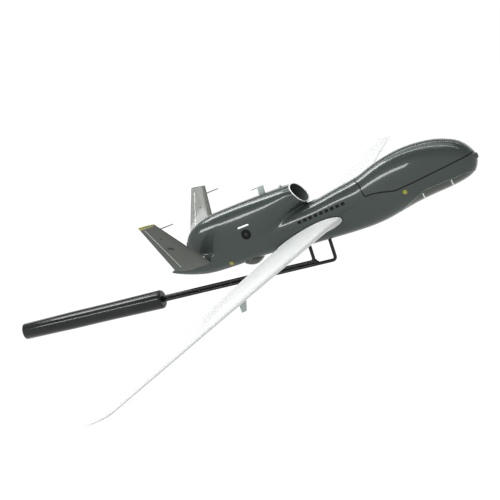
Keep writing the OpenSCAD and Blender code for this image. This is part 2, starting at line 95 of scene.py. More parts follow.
NACELLE = [
    (158.6, 13.2, 56.3, 37, 46.6, 2.3), (163, 13.7, 57, 35.8, 46.4, 2.3), (172, 14.1, 57.2, 32.5, 43, 2.3),
    (185, 14.3, 57.3, 25, 37, 2.35), (205, 14.45, 57.4, 12, 28, 2.5), (225, 14.45, 57.2, 7, 22, 2.6),
    (243, 14, 56.6, 7.5, 21, 2.6), (256, 12.4, 54.4, 10, 22, 2.5), (266, 9.6, 50.6, 15, 26, 2.3),
    (272, 7, 46.6, 22, 32, 2.15), (275.5, 4.6, 42.5, 30, 37, 2.1),
]
INTAKE_AFT = 158.6
INTAKE_Z = 46.6
DECK_Z = 35.9
INTAKE_RAKE = math.radians(26.5)
INTAKE_WALL = 1.3
EXHAUST_AFT = 272
EXHAUST_Z = 36.5

# Seams in side view: distance aft, height
HOOD_SEAM = [(-6, 26.7), (0, 26.4), (18, 25), (37, 23.4), (59, 21.4), (73, 20.6), (85, 23.6), (93, 24.8),
             (100, 25), (101.7, 35.6), (105.8, 40.8), (108, 46)]
CANOE_SEAM = [(5, 10.9), (12, 12.4), (30, 12.2), (48, 11.6), (57, 8.6), (68, 4.4), (78, 0.2), (80, -2)]

# Wing and fins
FUSELAGE_SIDE = 15.6
HALF_SPAN = 415.6
WING_ROOT_AFT = 131.5
ROOT_CHORD = 61
TIP_CHORD = 16.5
WING_SWEEP = 56.5
WING_THICKNESS = 0.14
TIP_ROUND = 9
FIN_ROOT = (257, 18.3, 22.6)  # where a fin's leading edge starts: distance aft, to the side, up
FIN_TIP_AFT = 266.8
FIN_LEN = 71.5
FIN_ROOT_CHORD = 33
FIN_TIP_CHORD = 14.6
FIN_CANT = math.radians(47.5)
FIN_THICKNESS = 0.085
FIN_CAP_LEN = 2.6
FIN_FOOT_TAPER = 16
FIN_TIP_SKEW = 3
PROBE_SHARE = 0.87
PROBE_LEN = 13.5

# Fittings
BLADE_AFT = 194
BEACON_AFT = 172.5
BLISTER_AFT = 219.9
BLISTER_Z = 38
RADOME_AFT = 222
UNDERWING_BLADE_Y = 195

# Markings in side view: distance aft, height
DISC_PLACE = (214.6, 30.6)
DASH_ROW = ((118.5, 25.8), (166.5, 23.7))
DASH_FIRST = 121
DASH_PITCH = 5.4
DASH_COUNT = 9
DASH_SIZE = (3.4, 2.6)
YELLOW_SPOTS = ((239.4, 10.6), (65.2, 16.3))
CANOE_BANDS = ((52, 9.6, 3.6), (25, 11.6, 5.2))  # distance aft, top, bottom
HINGE_SHARE = 0.76

# How far out a marking's grid starts before it is laid on the body or on a fin
BODY_START = 40
FIN_START = 90

# Voxel sizes and passes of smoothing of the blended forms
BODY_VOXEL = 0.78
BODY_PASSES = 40
WELD_VOXEL = 0.25
WELD_PASSES = 6

SIDES = ((1, "left"), (-1, "right"))


# ---------- finishes ----------

def socket_value(shader, name, value):
    shader.inputs[name].default_value = value


def new_finish(name, metallic=0.0, coat=0.0, coat_roughness=0.03):
    material = bpy.data.materials.new(name)
    material.use_nodes = True
    nodes = material.node_tree.nodes
    shader = nodes["Principled BSDF"]
    socket_value(shader, "Metallic", metallic)
    socket_value(shader, "Coat Weight", coat)
    socket_value(shader, "Coat Roughness", coat_roughness)
    place = nodes.new("ShaderNodeTexCoord")
    return material, nodes, material.node_tree.links, shader, place.outputs["Object"]


def noise(nodes, links, place, scale, detail=2.0):
    pattern = nodes.new("ShaderNodeTexNoise")
    pattern.inputs["Scale"].default_value = scale
    pattern.inputs["Detail"].default_value = detail
    links.new(place, pattern.inputs["Vector"])
    return pattern.outputs["Fac"]


def spread_between(nodes, links, value, low, high):
    span = nodes.new("ShaderNodeMapRange")
    span.inputs["From Min"].default_value = 0.3
    span.inputs["From Max"].default_value = 0.7
    span.inputs["To Min"].default_value = low
    span.inputs["To Max"].default_value = high
    links.new(value, span.inputs["Value"])
    return span.outputs["Result"]


def mix_colours(nodes, links, share, one, other):
    mix = nodes.new("ShaderNodeMix")
    mix.data_type = "RGBA"
    links.new(share, mix.inputs["Factor"])
    for place, colour in (("A", one), ("B", other)):
        slot = [s for s in mix.inputs if s.name == place and s.type == "RGBA"][0]
        if isinstance(colour, tuple):
            slot.default_value = (*colour, 1)
        else:
            links.new(colour, slot)
    return [s for s in mix.outputs if s.type == "RGBA"][0]


def bumps(nodes, links, shader, heights):
    """Chains bump nodes: (height, strength, distance in metres)."""
    last = None
    for height, strength, distance in heights:
        bump = nodes.new("ShaderNodeBump")
        bump.inputs["Strength"].default_value = strength
        bump.inputs["Distance"].default_value = distance
        links.new(height, bump.inputs["Height"])
        if last:
            links.new(last, bump.inputs["Normal"])
        last = bump.outputs["Normal"]
    links.new(last, shader.inputs["Normal"])


def shade(colour, factor):
    return tuple(min(1.0, c * factor) for c in colour)


def lacquer(name, colour, roughness=0.3, coat=0.9, mottle=0.04, ripple=0.05, peel=0.006, specular=0.3):
    """Sprayed gloss paint: faint mottling, fine orange peel and the long ripples of a hand-sanded form."""
    material, nodes, links, shader, place = new_finish(name, coat=coat, coat_roughness=0.04)
    socket_value(shader, "Specular IOR Level", specular)
    cloud = spread_between(nodes, links, noise(nodes, links, place, 26, 3), 0, 1)
    links.new(mix_colours(nodes, links, cloud, shade(colour, 1 - mottle), shade(colour, 1 + mottle)),
              shader.inputs["Base Color"])
    scuffs = noise(nodes, links, place, 180, 5)
    links.new(spread_between(nodes, links, scuffs, roughness - 0.03, roughness + 0.04),
              shader.inputs["Roughness"])
    bumps(nodes, links, shader, [(noise(nodes, links, place, 38, 1), ripple, 0.0004),
                                 (noise(nodes, links, place, 900, 2), peel, 0.0001)])
    return material


def black_enamel(name, lump_scale, lumps, stretch=(1, 1, 1)):
    """Thick dipped black paint, with lumps and sags, rubbed a little on its high spots."""
    material, nodes, links, shader, place = new_finish(name, coat=0.6, coat_roughness=0.05)
    socket_value(shader, "Specular IOR Level", 0.3)
    turn = nodes.new("ShaderNodeMapping")
    turn.inputs["Scale"].default_value = stretch
    links.new(place, turn.inputs["Vector"])
    place = turn.outputs["Vector"]
    rubbed = spread_between(nodes, links, noise(nodes, links, place, 70, 4), 0, 1)
    links.new(mix_colours(nodes, links, rubbed, (0.011, 0.013, 0.012), (0.022, 0.027, 0.024)),
              shader.inputs["Base Color"])
    links.new(spread_between(nodes, links, noise(nodes, links, place, 90, 2), 0.22, 0.3),
              shader.inputs["Roughness"])
    bumps(nodes, links, shader, [(noise(nodes, links, place, lump_scale, 2), lumps, 0.0006),
                                 (noise(nodes, links, place, 300, 1), 0.02, 0.0002)])
    return material


def turned_brass(name):
    material, nodes, links, shader, place = new_finish(name, metallic=1.0)
    tarnish = spread_between(nodes, links, noise(nodes, links, place, 300, 4), 0, 1)
    links.new(mix_colours(nodes, links, tarnish, (0.62, 0.43, 0.17), (0.8, 0.6, 0.28)),
              shader.inputs["Base Color"])
    links.new(spread_between(nodes, links, noise(nodes, links, place, 700, 2), 0.2, 0.42),
              shader.inputs["Roughness"])
    bumps(nodes, links, shader, [(noise(nodes, links, place, 1500, 1), 0.2, 0.00005)])
    return material


def bare_wood(name):
    material, nodes, links, shader, place = new_finish(name)
    grain = nodes.new("ShaderNodeTexWave")
    grain.bands_direction = "X"
    grain.inputs["Scale"].default_value = 220
    grain.inputs["Distortion"].default_value = 3
    links.new(place, grain.inputs["Vector"])
    rings = grain.outputs["Fac"]
    links.new(mix_colours(nodes, links, rings, (0.42, 0.27, 0.14), (0.6, 0.42, 0.24)),
              shader.inputs["Base Color"])
    socket_value(shader, "Roughness", 0.7)
    bumps(nodes, links, shader, [(rings, 0.3, 0.0001)])
    return material


def soot_black(name):
    material, nodes, links, shader, place = new_finish(name)
    dust = spread_between(nodes, links, noise(nodes, links, place, 240, 4), 0, 1)
    links.new(mix_colours(nodes, links, dust, (0.006, 0.007, 0.007), (0.02, 0.022, 0.021)),
              shader.inputs["Base Color"])
    socket_value(shader, "Roughness", 0.8)
    bumps(nodes, links, shader, [(noise(nodes, links, place, 1600, 3), 0.2, 0.0001)])
    return material


BODY_GREY = (0.06, 0.076, 0.07)
finishes = {
    "body_grey": lacquer("body_grey", BODY_GREY),
    "canoe_grey": lacquer("canoe_grey", (0.075, 0.085, 0.072), mottle=0.09),
    # The canoe rim's pale colour is a painted highlight: the shine along the ledge at the canoe's top edge.
    "canoe_rim_highlight": lacquer("canoe_rim_highlight", (0.3, 0.34, 0.31), mottle=0.08),
    "seam_black": lacquer("seam_black", (0.008, 0.01, 0.01), roughness=0.4, coat=0.2),
    "collar_grey": lacquer("collar_grey", (0.09, 0.11, 0.1)),
    "lens_black": lacquer("lens_black", (0.01, 0.011, 0.012), roughness=0.12, coat=1.0, ripple=0.02),
    # This white is the real white of the intake lip; on the side blisters it is a painted highlight.
    "trim_white": lacquer("trim_white", (0.84, 0.86, 0.85), mottle=0.02),
    "intake_black": soot_black("intake_black"),
    "duct_grey": lacquer("duct_grey", (0.14, 0.16, 0.15), roughness=0.45, coat=0.1),
    "joint_shadow": lacquer("joint_shadow", (0.03, 0.033, 0.05), roughness=0.4, coat=0.2),
    "exhaust_metal": lacquer("exhaust_metal", (0.05, 0.052, 0.05), roughness=0.4, coat=0.1),
    "wing_white": lacquer("wing_white", (0.66, 0.675, 0.67), roughness=0.4, coat=0.12, mottle=0.012,
                          ripple=0.01, peel=0.0, specular=0.2),
    "dowel_wood": bare_wood("dowel_wood"),
    "fin_grey": lacquer("fin_grey", (0.105, 0.115, 0.1), roughness=0.42, coat=0.5, mottle=0.1),
    "probe_grey": lacquer("probe_grey", (0.14, 0.15, 0.14), roughness=0.5, coat=0.1),
    "fitting_grey": lacquer("fitting_grey", (0.42, 0.48, 0.46), roughness=0.3),
    "handle_black": black_enamel("handle_black", 45, 0.07, (0.45, 1, 1)),
    "rod_black": black_enamel("rod_black", 130, 0.45, (0.6, 1, 1)),
    "sleeve_brass": turned_brass("sleeve_brass"),
    "mark_dark": lacquer("mark_dark", (0.006, 0.007, 0.008), roughness=0.5, coat=0.05, mottle=0.15),
    "mark_soft": lacquer("mark_soft", (0.045, 0.052, 0.05), roughness=0.45, coat=0.2, mottle=0.15),
    "mark_pale": lacquer("mark_pale", (0.62, 0.66, 0.64), roughness=0.4, coat=0.3, mottle=0.05),
    "mark_yellow": lacquer("mark_yellow", (0.34, 0.32, 0.02), roughness=0.4, mottle=0.1),
    "mark_violet": lacquer("mark_violet", (0.13, 0.1, 0.26), roughness=0.4, mottle=0.1),
}


# ---------- modelling ----------

def leave_edit_mode():
    if bpy.context.object and bpy.context.object.mode != "OBJECT":
        bpy.ops.object.mode_set(mode="OBJECT")


def select_only(*pieces):
    leave_edit_mode()
    bpy.ops.object.select_all(action="DESELECT")
    for piece in pieces:
        piece.select_set(True)
    bpy.context.view_layer.objects.active = pieces[0] if pieces else None


def fresh(name):
    piece = bpy.context.active_object
    piece.name = name
    piece.data.name = name
    return piece


def outward(piece):
    select_only(piece)
    bpy.ops.object.mode_set(mode="EDIT")
    bpy.ops.mesh.select_all(action="SELECT")
    bpy.ops.mesh.remove_doubles(threshold=1e-7)
    bpy.ops.mesh.normals_make_consistent(inside=False)
    bpy.ops.object.mode_set(mode="OBJECT")


def loft(name, rings, joined=False):
    """Extrudes a circle ring by ring, each ring a list of points in millimetres, and closes it:
    with end caps, or where it is a band, by bridging its last ring to its first."""
    select_only()
    bpy.ops.mesh.primitive_circle_add(vertices=len(rings[0]), radius=MM)
    piece = fresh(name)
    bpy.ops.object.mode_set(mode="EDIT")
    bpy.ops.mesh.select_all(action="SELECT")
    form = bmesh.from_edit_mesh(piece.data)
    number = form.verts.layers.int.new("number")
    form.verts.ensure_lookup_table()
    for k, corner in enumerate(form.verts):
        corner[number] = k
    for row, ring in enumerate(rings):
        if row:
            bpy.ops.mesh.extrude_region_move()
        form = bmesh.from_edit_mesh(piece.data)
        number = form.verts.layers.int["number"]
        for corner in form.verts:
            if corner.select:
                corner.co = Vector(ring[corner[number]]) * MM
        bmesh.update_edit_mesh(piece.data)
    if joined:
        bpy.ops.mesh.select_non_manifold()
        bpy.ops.mesh.bridge_edge_loops()
    else:
        bpy.ops.mesh.edge_face_add()
        bpy.ops.mesh.select_all(action="DESELECT")
        bpy.ops.mesh.select_non_manifold()
        bpy.ops.mesh.edge_face_add()
    bpy.ops.mesh.select_all(action="SELECT")
    bpy.ops.mesh.normals_make_consistent(inside=False)
    bpy.ops.object.mode_set(mode="OBJECT")
    return piece


def apply_modifier(piece, kind, **settings):
    select_only(piece)
    modifier = piece.modifiers.new(kind.title(), kind)
    for key, value in settings.items():
        setattr(modifier, key, value)
    bpy.ops.object.modifier_apply(modifier=modifier.name)


def rounded(piece, levels=2):
    apply_modifier(piece, "SUBSURF", levels=levels, render_levels=levels)
    return piece


def cut(piece, cutter, operation="DIFFERENCE"):
    """Joins, cuts or trims a piece with a cutter, which is used up."""
    apply_modifier(piece, "BOOLEAN", object=cutter, operation=operation, solver="MANIFOLD")
    bpy.data.objects.remove(cutter)


def copy_of(piece, name):
    select_only(piece)
    bpy.ops.object.duplicate(linked=False)
    return fresh(name)


def smooth(piece, angle=50):
    select_only(piece)
    bpy.ops.object.shade_smooth_by_angle(angle=math.radians(angle))
    return piece


def seated(piece):
    """Turns and lifts a piece from the aircraft's own frame onto the stick."""
    select_only(piece)
    piece.location = (NOSE_REACH * MM, 0, DATUM_HEIGHT * MM)
    piece.rotation_euler = (0, -PITCH, 0)
    bpy.ops.object.transform_apply(location=True, rotation=True, scale=True)
    return piece


def mirrored(piece, name):
    other = copy_of(piece, name)
    other.scale = (1, -1, 1)
    bpy.ops.object.transform_apply(location=False, rotation=False, scale=True)
    outward(other)
    return other


def in_place(piece, finish, body, nodes=()):
    """Gives a piece its finish and its body, and hides the CAD nodes that it stands for."""
    piece.data.materials.clear()
    piece.data.materials.append(finishes[finish])
    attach(piece, body)
    if nodes:
        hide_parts(*nodes)
    return piece


# ---------- body sections ----------

def section_at(table, aft):
    """Smooth section between a table's rows, closing up towards the nose."""
    rows = len(table)
    i = max(k for k in range(rows - 1) if k == 0 or table[k][0] <= aft)
    low, high = math.sqrt(table[i][0]), math.sqrt(table[i + 1][0])
    t = (math.sqrt(aft) - low) / (high - low)

    def slope(k, column):
        a, b = max(k - 1, 0), min(k + 1, rows - 1)
        return (table[b][column] - table[a][column]) / (math.sqrt(table[b][0]) - math.sqrt(table[a][0]))

    def value(column):
        a, b = table[i][column], table[i + 1][column]
        m, n = slope(i, column) * (high - low), slope(i + 1, column) * (high - low)
        return ((2 * t**3 - 3 * t**2 + 1) * a + (t**3 - 2 * t**2 + t) * m
                + (3 * t**2 - 2 * t**3) * b + (t**3 - t**2) * n)

    return (aft, *(value(column) for column in range(1, 6)))


def section_ring(section, points=40, inset=0.0, widen=0.0):
    """Points round a section, drawn in by inset and grown sideways by widen."""
    aft, half, top, bottom, widest, fullness = section
    ring = []
    for k in range(points):
        angle = 2 * math.pi * (k + 0.5) / points
        c, s = math.cos(angle), math.sin(angle)
        side = math.copysign(abs(c) ** (2 / fullness), c) * (half - inset + widen)
        rise = (top - inset - widest) if s > 0 else (widest - bottom - inset)
        ring.append((-aft, side, widest + math.copysign(abs(s) ** (2 / fullness), s) * rise))
    return ring


def nacelle_ring(aft, inset=0.0, points=40):
    """A nacelle ring, leant forward at its foot close to the intake."""
    lean = max(0.0, 1 - max(0.0, aft - INTAKE_AFT) / 60)
    section = section_at(NACELLE, max(aft, INTAKE_AFT))
    ring = section_ring((aft, *section[1:]), points, inset)
    return [(x - (z - section[4]) * math.tan(INTAKE_RAKE) * lean, y, z) for x, y, z in ring]


def between(a, b, n):
    return [a + (b - a) * k / n for k in range(n + 1)]


def round_angles(count):
    return [2 * math.pi * k / count for k in range(count)]


def upright_rings(aft, profile, points):
    """Level rings about an upright line, from a profile of (height, radius)."""
    return [[(-aft + r * math.cos(a), r * math.sin(a), z) for a in round_angles(points)] for z, r in profile]


def side_block(name, seam, far_z, shift=(0.0, 0.0), half=30):
    """A block whose outline in side view follows a seam, for cutting along it."""
    outline = [(aft + shift[0], z + shift[1]) for aft, z in seam]
    outline += [(outline[-1][0], far_z), (outline[0][0], far_z)]
    return loft(name, [[(-aft, side, z) for aft, z in outline] for side in (-half, half)])


def pipe_block(name, aft, y, z, radius, length, axis, points=32):
    """A round cutter that starts at (aft, y, z) and runs along axis."""
    select_only()
    along = Vector(axis).normalized()
    middle = (Vector((-aft, y, z)) + along * length / 2) * MM
    bpy.ops.mesh.primitive_cylinder_add(vertices=points, radius=radius * MM, depth=length * MM,
                                        location=middle, rotation=along.to_track_quat("Z", "Y").to_euler())
    piece = fresh(name)
    bpy.ops.object.transform_apply(location=True, rotation=True, scale=True)
    return piece


def make_body():
    """The fuselage and nacelle as one blended, painted form, then the hood cut out of it."""
    nose_stations = [0, 0.02] + [k**2 / 12 for k in range(1, 21)]
    stations = nose_stations + between(37, 297, 52) + [299, 300]
    form = loft("fuselage", [section_ring(section_at(BODY, s)) for s in stations])
    stations = between(INTAKE_AFT - 5, INTAKE_AFT, 2) + between(161, 268, 42) + [270, 272, 274, 275.5]
    nacelle = loft("nacelle_form", [nacelle_ring(s) for s in stations])
    cut(form, nacelle, "UNION")
    apply_modifier(form, "REMESH", mode="VOXEL", voxel_size=BODY_VOXEL * MM, use_smooth_shade=True)
    apply_modifier(form, "SMOOTH", factor=0.5, iterations=BODY_PASSES)

    # Intake: trim the form flat across its mouth, then hollow it
    lean = Vector((math.cos(INTAKE_RAKE), 0, math.sin(INTAKE_RAKE)))
    select_only()
    bpy.ops.mesh.primitive_cube_add(size=1, location=(0, 0, 0))
    block = fresh("mouth_block")
    depth = 12
    block.scale = (depth * MM, 40 * MM, 40 * MM)
    block.rotation_euler = (0, -INTAKE_RAKE, 0)
    block.location = (Vector((-INTAKE_AFT, 0, INTAKE_Z)) + lean * depth / 2) * MM
    bpy.ops.object.transform_apply(location=True, rotation=True, scale=True)
    cut(block, side_block("deck_block", [(130, DECK_Z), (200, DECK_Z)], 80), "INTERSECT")
    cut(form, block)
    hollow = [nacelle_ring(s, INTAKE_WALL) for s in (150, 156, 162, 168, 174, 179.6)]
    cut(form, loft("mouth_hollow", hollow))
    cut(form, pipe_block("exhaust_hollow", EXHAUST_AFT, 0, EXHAUST_Z, 4.7, 10, (-1, 0, 0)))
    whole = copy_of(form, "whole_form")
    cut(form, side_block("canoe_seat", CANOE_SEAM, -12))
    hood = copy_of(form, "nose_hood")
    cut(hood, side_block("hood_block", HOOD_SEAM, 70), "INTERSECT")
    cut(form, side_block("hood_seat", HOOD_SEAM, 70, (0.25, -0.3)))

    for piece in (form, hood, whole):
        seated(piece)
    for x in (FRONT_PRONG_X, REAR_PRONG_X):
        cut(form, pipe_block("sleeve_seat", -x, 0, 5, SLEEVE_R, PRONG_TOP - 3.5, (0, 0, 1)))
    in_place(smooth(form, 40), "body_grey", "airframe", ("fuselage", "engine_nacelle"))
    in_place(smooth(hood, 40), "body_grey", "airframe", ("nose_hood",))
    return whole


def make_canoe():
    proud = 0.7
    stations = [2, 4] + between(6, 80, 30)
    canoe = loft("belly_canoe", [section_ring(section_at(BODY, s), widen=proud) for s in stations])
    cut(canoe, side_block("canoe_block", CANOE_SEAM, -12, (0, -0.12)), "INTERSECT")
    seated(canoe)
    return in_place(smooth(canoe, 40), "canoe_grey", "airframe", ("belly_canoe",))


def make_intake():
    """The bright rolled lip round the intake's mouth, and the grey wall of the duct behind it."""
    profile = [(-2.2, 0.1), (0.1, 0.02), (0.6, 0.1), (0.85, 0.3),
               (0.8, 0.55), (0.4, 0.8), (-0.4, 1.0), (-2.2, 1.05)]
    lip = loft("intake_lip", [[(x + ahead, y, z) for x, y, z in nacelle_ring(INTAKE_AFT, inset, 48)]
                              for ahead, inset in profile], joined=True)
    rounded(lip, 1)
    seated(lip)
    in_place(smooth(lip, 60), "trim_white", "airframe", ("intake_lip",))
    wall = [(-0.4, 1.35), (3, 1.6), (9, 2.2), (16, 3), (20, 3.6), (20, 1.2), (9, 1.2), (-0.4, 1.25)]
    duct = loft("intake_duct", [nacelle_ring(INTAKE_AFT + behind, inset, 48) for behind, inset in wall],
                joined=True)
    seated(duct)
    in_place(smooth(duct, 40), "duct_grey", "airframe")


# ---------- wings ----------

FOIL_POINTS = 15


def foil(chord, thick):
    """Closed aerofoil from its trailing edge over the top: (distance behind the leading edge, height)."""
    points = []
    for k in range(2 * FOIL_POINTS):
        angle = math.pi * k / FOIL_POINTS
        u = (1 + math.cos(angle)) / 2
        t = thick * chord * (1.48 * math.sqrt(u) - 0.63 * u - 1.76 * u**2 + 1.42 * u**3 - 0.46 * u**4 + 0.012)
        camber = 0.1 * thick * chord * math.sin(math.pi * u)
        points.append((u * chord, camber + (t if k < FOIL_POINTS else -t)))
    return points


def span_share(y):
    return (y - FUSELAGE_SIDE) / (HALF_SPAN - FUSELAGE_SIDE)


def trailing_aft(y):
    return WING_ROOT_AFT + ROOT_CHORD + (WING_SWEEP + TIP_CHORD - ROOT_CHORD) * span_share(y)


def leading_aft(y):
    t = max(0.0, (y - HALF_SPAN + TIP_ROUND) / TIP_ROUND)
    tip_cut = 1 - math.sqrt(max(0.0, 1 - t**2))
    glove = 3.6 * max(0.0, 1 - max(0.0, y - FUSELAGE_SIDE) / 26) ** 2
    straight = WING_ROOT_AFT + WING_SWEEP * span_share(y)
    return straight + (trailing_aft(y) - straight) * 0.86 * tip_cut - glove


def wing_ring(y, grow=0.0):
    lead = leading_aft(y)
    chord = trailing_aft(y) - lead
    share = span_share(y)
    incidence = math.asin((4.9 - 4 * share) / ROOT_CHORD)
    ring = []
    for k, (back, up) in enumerate(foil(chord, WING_THICKNESS - 0.02 * share)):
        angle = math.pi * k / FOIL_POINTS
        ring.append((-lead - back * math.cos(incidence) - grow * math.cos(angle), y,
                     13.6 - 2 * share - back * math.sin(incidence) + up + grow * math.sin(angle)))
    return ring


def make_wings():
    stations = ([12, 15, 18, 22, 27, 34, 44] + between(60, HALF_SPAN - 15, 24)
                + [HALF_SPAN - TIP_ROUND + TIP_ROUND * math.sin(math.radians(t)) for t in range(0, 90, 12)]
                + [HALF_SPAN - 0.07])
    left = rounded(loft("wing_left", [wing_ring(y) for y in stations]), 1)
    right = mirrored(left, "wing_right")
    for piece, side in ((left, "left"), (right, "right")):
        seated(piece)
        in_place(smooth(piece, 60), "wing_white", "airframe", ("wing_" + side,))

    # Foot of each wing, flared onto the fuselage with a small bead round its edge
    profile = [(-3.6, 0.4), (-3.6, 1.4), (-1.6, 1.2), (-0.5, 0.8), (0.8, 0.4),
               (2.6, 0.15), (5, 0.02), (5, -0.3), (1, -0.3)]
    rings = [wing_ring(FUSELAGE_SIDE + out, grow) for out, grow in profile]
    left = rounded(loft("root_fairing_left", rings, joined=True), 1)
    right = mirrored(left, "root_fairing_right")
    for piece, side in ((left, "left"), (right, "right")):
        seated(piece)
        in_place(smooth(piece, 60), "wing_white", "airframe", ("root_fairing_" + side,))


# ---------- fins ----------

def on_fin(side, along, out, off):
    """A point in a fin's own plane, in the aircraft's frame."""
    root_aft, root_y, root_z = FIN_ROOT
    return (along, side * (root_y + out * math.cos(FIN_CANT) - off * math.sin(FIN_CANT)),
            root_z + out * math.sin(FIN_CANT) + off * math.cos(FIN_CANT))


def fin_chord(out):
    foot = min(1.0, 1 + out / FIN_FOOT_TAPER)
    return (FIN_ROOT_CHORD + (FIN_TIP_CHORD - FIN_ROOT_CHORD) * out / FIN_LEN) * foot


def fin_lead(out):
    return FIN_ROOT[0] + (FIN_TIP_AFT - FIN_ROOT[0]) * out / FIN_LEN


def fin_ring(side, out, thin=1.0, grow=0.0):
    chord = fin_chord(out)
    ring = []
    for k, (back, up) in enumerate(foil(chord, FIN_THICKNESS * thin)):
        angle = math.pi * k / FOIL_POINTS
        skew = FIN_TIP_SKEW * out / FIN_LEN * back / chord
        ring.append(on_fin(side, -fin_lead(out) - back - grow * math.cos(angle), out + skew,
                           up - 0.1 * FIN_THICKNESS * chord + grow * math.sin(angle)))
    return ring


def make_fins():
    """Makes both fins and gives back a joined copy of each one, for its markings to lie on."""
    forms = {}
    for side, name in SIDES:
        body_end = FIN_LEN - FIN_CAP_LEN
        stations = [-7, -2] + between(2, body_end, 16)
        blade = loft("fin_" + name, [fin_ring(side, out) for out in stations])
        seated(blade)
        cap = loft("fin_cap_" + name, [
            fin_ring(side, body_end), fin_ring(side, FIN_LEN - 1.2),
            fin_ring(side, FIN_LEN - 0.5, 0.8), fin_ring(side, FIN_LEN - 0.05, 0.35)])
        seated(cap)
        forms[name] = copy_of(blade, "fin_form_" + name)
        lid = copy_of(cap, "fin_form_lid")
        select_only(forms[name], lid)
        bpy.ops.object.join()
        in_place(smooth(blade, 60), "fin_grey", "airframe", ("fin_" + name,))
        in_place(smooth(cap, 60), "fin_grey", "airframe", ("fin_cap_" + name,))
        out = FIN_LEN * PROBE_SHARE
        start = on_fin(side, -fin_lead(out) - 1, out + 0.2, 0.1)
        probe = tapered_bar("fin_probe_" + name, start, (1, 0, 0), PROBE_LEN, 0.5, 0.36)
        seated(probe)
        in_place(smooth(probe, 60), "probe_grey", "airframe", ("fin_probe_" + name,))
    return forms


def tapered_bar(name, start, axis, length, radius, end_radius):
    """A slim round bar, thinned towards its end and with its rim eased."""
    select_only()
    along = Vector(axis).normalized()
    middle = (Vector(start) + along * length / 2) * MM
    bpy.ops.mesh.primitive_cone_add(vertices=16, radius1=radius * MM, radius2=end_radius * MM,
                                    depth=length * MM, location=middle,
                                    rotation=along.to_track_quat("Z", "Y").to_euler())
    piece = fresh(name)
    bpy.ops.object.transform_apply(location=True, rotation=True, scale=True)
    apply_modifier(piece, "BEVEL", width=min(radius, end_radius) * 0.5 * MM, segments=2, limit_method="ANGLE")
    return piece


# ---------- stick ----------

def make_handle():
    length = HANDLE_FRONT - HANDLE_REAR
    select_only()
    bpy.ops.mesh.primitive_cylinder_add(vertices=64, radius=GRIP_R * MM, depth=length * MM,
                                        location=((HANDLE_REAR + HANDLE_FRONT) / 2 * MM, 0, 0),
                                        rotation=(0, math.pi / 2, 0))
    handle = fresh("handle")
    bpy.ops.object.transform_apply(location=True, rotation=True, scale=True)
    bpy.ops.object.mode_set(mode="EDIT")
    for x in (-GRIP_LEN / 2, GRIP_LEN / 2):
        bpy.ops.mesh.select_all(action="SELECT")
        bpy.ops.mesh.bisect(plane_co=(x * MM, 0, 0), plane_no=(1, 0, 0))
    for x, change in ((HANDLE_REAR, -GRIP_TAPER / 2), (HANDLE_FRONT, GRIP_TAPER / 2)):
        bpy.ops.mesh.select_all(action="DESELECT")
        form = bmesh.from_edit_mesh(handle.data)
        for corner in form.verts:
            corner.select = abs(corner.co.x - x * MM) < 0.01 * MM
        form.select_flush(True)
        bmesh.update_edit_mesh(handle.data)
        grow = (GRIP_R + change) / GRIP_R
        bpy.ops.transform.resize(value=(1, grow, grow), center_override=(x * MM, 0, 0))
        bpy.ops.mesh.bevel(offset=(2.6 if change > 0 else 0.35) * MM, segments=6 if change > 0 else 2,
                           affect="EDGES")
    bpy.ops.object.mode_set(mode="OBJECT")
    in_place(smooth(handle, 35), "handle_black", "stick", ("handle",))


def rod_rings(x, z, points=20):
    """Rings of a bent rod: along the stick, round its bend and up its prong."""
    path = [(HANDLE_FRONT - 42, z, 0), ((HANDLE_FRONT + x) / 2, z, 0)]
    path += [(x - BEND_R + BEND_R * math.sin(a), z + BEND_R - BEND_R * math.cos(a), a)
             for a in between(0, math.pi / 2, 10)]
    path += [(x, PRONG_TOP - 0.5, math.pi / 2), (x, PRONG_TOP, math.pi / 2)]
    rings = []
    for row, (px, pz, turn) in enumerate(path):
        r = ROD_R - 0.5 * (row == len(path) - 1)
        rings.append([(px - r * math.sin(turn) * math.sin(a), r * math.cos(a),
                       pz + r * math.cos(turn) * math.sin(a)) for a in round_angles(points)])
    return rings


def weld_bead(name, beads):
    """Round beads of weld metal run together: (x, y, z, radii along x, y and z)."""
    drops = []
    for x, y, z, *radii in beads:
        select_only()
        bpy.ops.mesh.primitive_uv_sphere_add(segments=24, ring_count=16, radius=MM,
                                             location=(x * MM, y * MM, z * MM))
        drop = fresh(name)
        drop.scale = radii
        drops.append(drop)
    select_only(*drops)
    bpy.ops.object.transform_apply(location=True, rotation=True, scale=True)
    if len(drops) > 1:
        bpy.ops.object.join()
    piece = bpy.context.active_object
    piece.name = name
    return piece


def make_stick():
    make_handle()
    for name, x, z in (("long_rod", FRONT_PRONG_X, -ROD_R), ("short_rod", REAR_PRONG_X, ROD_R)):
        in_place(smooth(loft(name, rod_rings(x, z)), 50), "rod_black", "stick", (name,))
    foot = weld_bead("foot_weld", [(REAR_PRONG_X + 0.4, 0, 1.2, 2.3, 1.9, 2.2),
                                   (REAR_PRONG_X + 2.3, 0, 0.3, 1.9, 1.3, 0.8),
                                   (REAR_PRONG_X - 3.2, 0, 0.4, 1.6, 1.75, 0.9)])
    apply_modifier(foot, "REMESH", mode="VOXEL", voxel_size=WELD_VOXEL * MM, use_smooth_shade=True)
    apply_modifier(foot, "SMOOTH", factor=0.5, iterations=WELD_PASSES)
    in_place(smooth(foot, 80), "rod_black", "stick", ("foot_weld",))
    tacks = [(x + 0.7 * side, side * 1.15, 0.1 * side, 1.3, 0.8, 0.8)
             for x in between(HANDLE_FRONT + 6, REAR_PRONG_X - 17, 4) for side in (-1, 1)]
    in_place(smooth(weld_bead("tack_welds", tacks), 80), "rod_black", "stick", ("tack_welds",))


# ---------- fittings ----------

